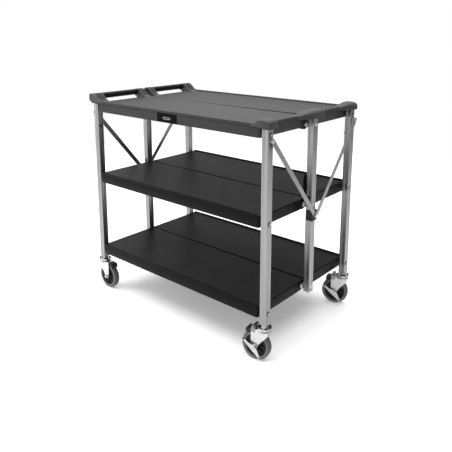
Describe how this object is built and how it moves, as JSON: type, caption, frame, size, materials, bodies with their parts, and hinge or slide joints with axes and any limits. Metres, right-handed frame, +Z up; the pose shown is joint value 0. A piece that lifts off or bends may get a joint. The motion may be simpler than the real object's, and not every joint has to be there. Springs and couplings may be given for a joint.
{
  "type": "folding service cart",
  "caption": "Three-shelf cart on swivel casters with a push handle; the split shelves hinge up at the middle so the sides close together.",
  "frame": {"origin": "centre of the bounding box on the floor", "axes": "+Z up, +X towards the plain front end, -X towards the push handle, +Y to the left of the person pushing it"},
  "size_m": [1.1306, 0.7358, 1.026],
  "materials": {
    "aluminium": "satin anodised",
    "brace_metal": "plain plated",
    "zinc": "bright zinc plate",
    "black_plastic": "fine moulded grain",
    "grip_plastic": "smooth satin",
    "hub_plastic": "satin",
    "tyre_rubber": "grey tread rubber"
  },
  "bodies": {
    "right_frame": {"leg_front_right": "aluminium", "stop_knob_front_right": "black_plastic", "caster_mount_front_right": "zinc", "leg_rear_right": "aluminium", "stop_knob_rear_right": "black_plastic", "caster_mount_rear_right": "zinc"},
    "left_frame": {"leg_front_left": "aluminium", "stop_knob_front_left": "black_plastic", "caster_mount_front_left": "zinc", "leg_rear_left": "aluminium", "stop_knob_rear_left": "black_plastic", "caster_mount_rear_left": "zinc"},
    "right_top": {"top_shelf_right": "black_plastic", "handle_grip_right": "grip_plastic", "badge_plate": "grip_plastic"},
    "left_top": {"top_shelf_left": "black_plastic", "handle_grip_left": "grip_plastic"},
    "centre_frame": {"centre_leg_front": "aluminium", "pull_tab_front": "black_plastic", "hinge_plate_top_front": "zinc", "hinge_plate_middle_front": "zinc", "hinge_plate_bottom_front": "zinc", "centre_leg_rear": "aluminium", "hinge_plate_top_rear": "zinc", "hinge_plate_middle_rear": "zinc", "hinge_plate_bottom_rear": "zinc"},
    "right_middle": {"middle_shelf_right": "black_plastic"},
    "right_bottom": {"bottom_shelf_right": "black_plastic"},
    "left_middle": {"middle_shelf_left": "black_plastic"},
    "left_bottom": {"bottom_shelf_left": "black_plastic"},
    "front_collar": {"collar_front": "black_plastic"},
    "rear_collar": {"collar_rear": "black_plastic"},
    "front_right_brace": {"brace_front_right": "brace_metal"},
    "front_left_brace": {"brace_front_left": "brace_metal"},
    "rear_right_brace": {"brace_rear_right": "brace_metal"},
    "rear_left_brace": {"brace_rear_left": "brace_metal"},
    "front_right_swivel": {"caster_fork_front_right": "zinc", "caster_axle_front_right": "zinc", "caster_guard_front_right": "hub_plastic"},
    "front_right_wheel": {"caster_tyre_front_right": "tyre_rubber", "caster_hub_front_right": "hub_plastic"},
    "front_right_brake": {"brake_pedal_front_right": "zinc"},
    "front_left_swivel": {"caster_fork_front_left": "zinc", "caster_axle_front_left": "zinc", "caster_guard_front_left": "hub_plastic"},
    "front_left_wheel": {"caster_tyre_front_left": "tyre_rubber", "caster_hub_front_left": "hub_plastic"},
    "front_left_brake": {"brake_pedal_front_left": "zinc"},
    "rear_right_swivel": {"caster_fork_rear_right": "zinc", "caster_axle_rear_right": "zinc", "caster_guard_rear_right": "hub_plastic"},
    "rear_right_wheel": {"caster_tyre_rear_right": "tyre_rubber", "caster_hub_rear_right": "hub_plastic"},
    "rear_left_swivel": {"caster_fork_rear_left": "zinc", "caster_axle_rear_left": "zinc", "caster_guard_rear_left": "hub_plastic"},
    "rear_left_wheel": {"caster_tyre_rear_left": "tyre_rubber", "caster_hub_rear_left": "hub_plastic"}
  },
  "joints": [
    {"name": "fold", "type": "hinge", "parent": "right_frame", "child": "right_top", "pos_m": [0.00265, -0.30875, 0.953], "axis": [1, 0, 0], "range_deg": [0, 58]},
    {"name": "centre_upright", "type": "hinge", "parent": "right_top", "child": "centre_frame", "pos_m": [0.00265, -0.01225, 0.953], "axis": [1, 0, 0], "range_deg": [-58, 0]},
    {"name": "left_top_fold", "type": "hinge", "parent": "centre_frame", "child": "left_top", "pos_m": [0.00265, 0.03775, 0.953], "axis": [1, 0, 0], "range_deg": [-58, 0]},
    {"name": "left_frame_upright", "type": "hinge", "parent": "left_top", "child": "left_frame", "pos_m": [0.00265, 0.33425, 0.953], "axis": [1, 0, 0], "range_deg": [0, 58]},
    {"name": "right_middle_fold", "type": "hinge", "parent": "right_frame", "child": "right_middle", "pos_m": [0.00265, -0.30875, 0.597], "axis": [1, 0, 0], "range_deg": [0, 58]},
    {"name": "left_middle_fold", "type": "hinge", "parent": "centre_frame", "child": "left_middle", "pos_m": [0.00265, 0.03775, 0.597], "axis": [1, 0, 0], "range_deg": [-58, 0]},
    {"name": "right_bottom_fold", "type": "hinge", "parent": "right_frame", "child": "right_bottom", "pos_m": [0.00265, -0.30875, 0.214], "axis": [1, 0, 0], "range_deg": [0, 58]},
    {"name": "left_bottom_fold", "type": "hinge", "parent": "centre_frame", "child": "left_bottom", "pos_m": [0.00265, 0.03775, 0.214], "axis": [1, 0, 0], "range_deg": [-58, 0]},
    {"name": "front_collar_slide", "type": "slide", "parent": "centre_frame", "child": "front_collar", "axis": [0, 0, -1], "range_m": [0, 0.335]},
    {"name": "rear_collar_slide", "type": "slide", "parent": "centre_frame", "child": "rear_collar", "axis": [0, 0, -1], "range_m": [0, 0.335]},
    {"name": "front_right_brace_turn", "type": "hinge", "parent": "right_frame", "child": "front_right_brace", "pos_m": [0.53115, -0.30875, 0.93], "axis": [1, 0, 0], "range_deg": [-19, 0]},
    {"name": "front_left_brace_turn", "type": "hinge", "parent": "left_frame", "child": "front_left_brace", "pos_m": [0.53115, 0.33425, 0.93], "axis": [1, 0, 0], "range_deg": [0, 19]},
    {"name": "rear_right_brace_turn", "type": "hinge", "parent": "right_frame", "child": "rear_right_brace", "pos_m": [-0.52585, -0.30875, 0.93], "axis": [1, 0, 0], "range_deg": [-19, 0]},
    {"name": "rear_left_brace_turn", "type": "hinge", "parent": "left_frame", "child": "rear_left_brace", "pos_m": [-0.52585, 0.33425, 0.93], "axis": [1, 0, 0], "range_deg": [0, 19]},
    {"name": "front_right_swivel_turn", "type": "hinge", "parent": "right_frame", "child": "front_right_swivel", "pos_m": [0.53115, -0.30875, 0.145], "axis": [0, 0, 1], "continuous": true},
    {"name": "front_right_wheel_roll", "type": "hinge", "parent": "front_right_swivel", "child": "front_right_wheel", "pos_m": [0.49668, -0.31483, 0.0635], "axis": [0.1736, -0.9848, 0], "continuous": true},
    {"name": "front_right_brake_press", "type": "hinge", "parent": "front_right_swivel", "child": "front_right_brake", "pos_m": [0.49668, -0.31483, 0.0635], "axis": [0.1736, -0.9848, 0], "range_deg": [0, 14]},
    {"name": "front_left_swivel_turn", "type": "hinge", "parent": "left_frame", "child": "front_left_swivel", "pos_m": [0.53115, 0.33425, 0.145], "axis": [0, 0, 1], "continuous": true},
    {"name": "front_left_wheel_roll", "type": "hinge", "parent": "front_left_swivel", "child": "front_left_wheel", "pos_m": [0.49826, 0.32228, 0.0635], "axis": [0.342, -0.9397, 0], "continuous": true},
    {"name": "front_left_brake_press", "type": "hinge", "parent": "front_left_swivel", "child": "front_left_brake", "pos_m": [0.49826, 0.32228, 0.0635], "axis": [0.342, -0.9397, 0], "range_deg": [0, 14]},
    {"name": "rear_right_swivel_turn", "type": "hinge", "parent": "right_frame", "child": "rear_right_swivel", "pos_m": [-0.52585, -0.30875, 0.145], "axis": [0, 0, 1], "continuous": true},
    {"name": "rear_right_wheel_roll", "type": "hinge", "parent": "rear_right_swivel", "child": "rear_right_wheel", "pos_m": [-0.49085, -0.30875, 0.0635], "axis": [0, 1, 0], "continuous": true},
    {"name": "rear_left_swivel_turn", "type": "hinge", "parent": "left_frame", "child": "rear_left_swivel", "pos_m": [-0.52585, 0.33425, 0.145], "axis": [0, 0, 1], "continuous": true},
    {"name": "rear_left_wheel_roll", "type": "hinge", "parent": "rear_left_swivel", "child": "rear_left_wheel", "pos_m": [-0.49119, 0.33912, 0.0635], "axis": [-0.1392, 0.9903, 0], "continuous": true}
  ],
  "couplings": [
    {"joint": "centre_upright", "follows": "fold", "ratio": -1},
    {"joint": "left_top_fold", "follows": "fold", "ratio": -1},
    {"joint": "left_frame_upright", "follows": "fold", "ratio": 1},
    {"joint": "right_middle_fold", "follows": "fold", "ratio": 1},
    {"joint": "left_middle_fold", "follows": "fold", "ratio": -1},
    {"joint": "right_bottom_fold", "follows": "fold", "ratio": 1},
    {"joint": "left_bottom_fold", "follows": "fold", "ratio": -1},
    {"joint": "front_collar_slide", "follows": "fold", "m_per_rad": 0.33044},
    {"joint": "rear_collar_slide", "follows": "fold", "m_per_rad": 0.33044},
    {"joint": "front_right_brace_turn", "follows": "fold", "ratio": -0.3234},
    {"joint": "front_left_brace_turn", "follows": "fold", "ratio": 0.3234},
    {"joint": "rear_right_brace_turn", "follows": "fold", "ratio": -0.3234},
    {"joint": "rear_left_brace_turn", "follows": "fold", "ratio": 0.3234}
  ]
}
